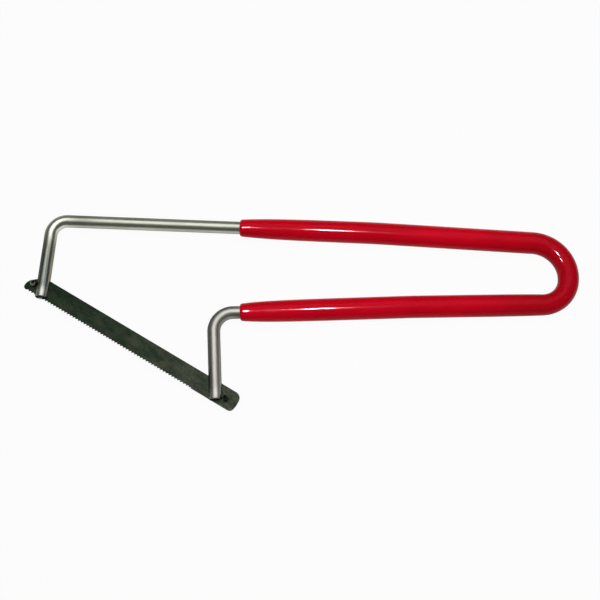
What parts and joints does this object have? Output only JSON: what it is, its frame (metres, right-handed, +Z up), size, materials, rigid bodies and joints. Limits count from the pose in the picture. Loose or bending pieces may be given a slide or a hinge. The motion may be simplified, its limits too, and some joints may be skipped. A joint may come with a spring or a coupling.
{
  "type": "hacksaw",
  "caption": "One-piece hacksaw: a bent round-rod frame with a dipped plastic handle loop and a pinned, slanted toothed blade.",
  "frame": {"origin": "middle of the outline in plan, at the height of the surface that the grip lies on", "axes": "+X from the front leg to the closed end of the handle, +Y from the blade to the long upper arm, +Z up through the rod's thickness, with the saw lying flat"},
  "size_m": [0.3534, 0.128, 0.0142],
  "materials": {
    "rod_steel": "satin nickel-plated rod with fine drawing lines",
    "grip_vinyl": "glossy dipped vinyl",
    "blade_steel": "dark heat-blued and oiled",
    "pin_steel": "rolled spring steel"
  },
  "bodies": {
    "frame": {"frame_rod": "rod_steel", "grip": "grip_vinyl"},
    "blade_set": {"blade": "blade_steel", "front_pin": "pin_steel", "rear_pin": "pin_steel"}
  },
  "joints": [
    {"name": "blade_release", "type": "slide", "parent": "frame", "child": "blade_set", "axis": [-0.0558, -0.9984, 0], "range_m": [0, 0.03]}
  ]
}
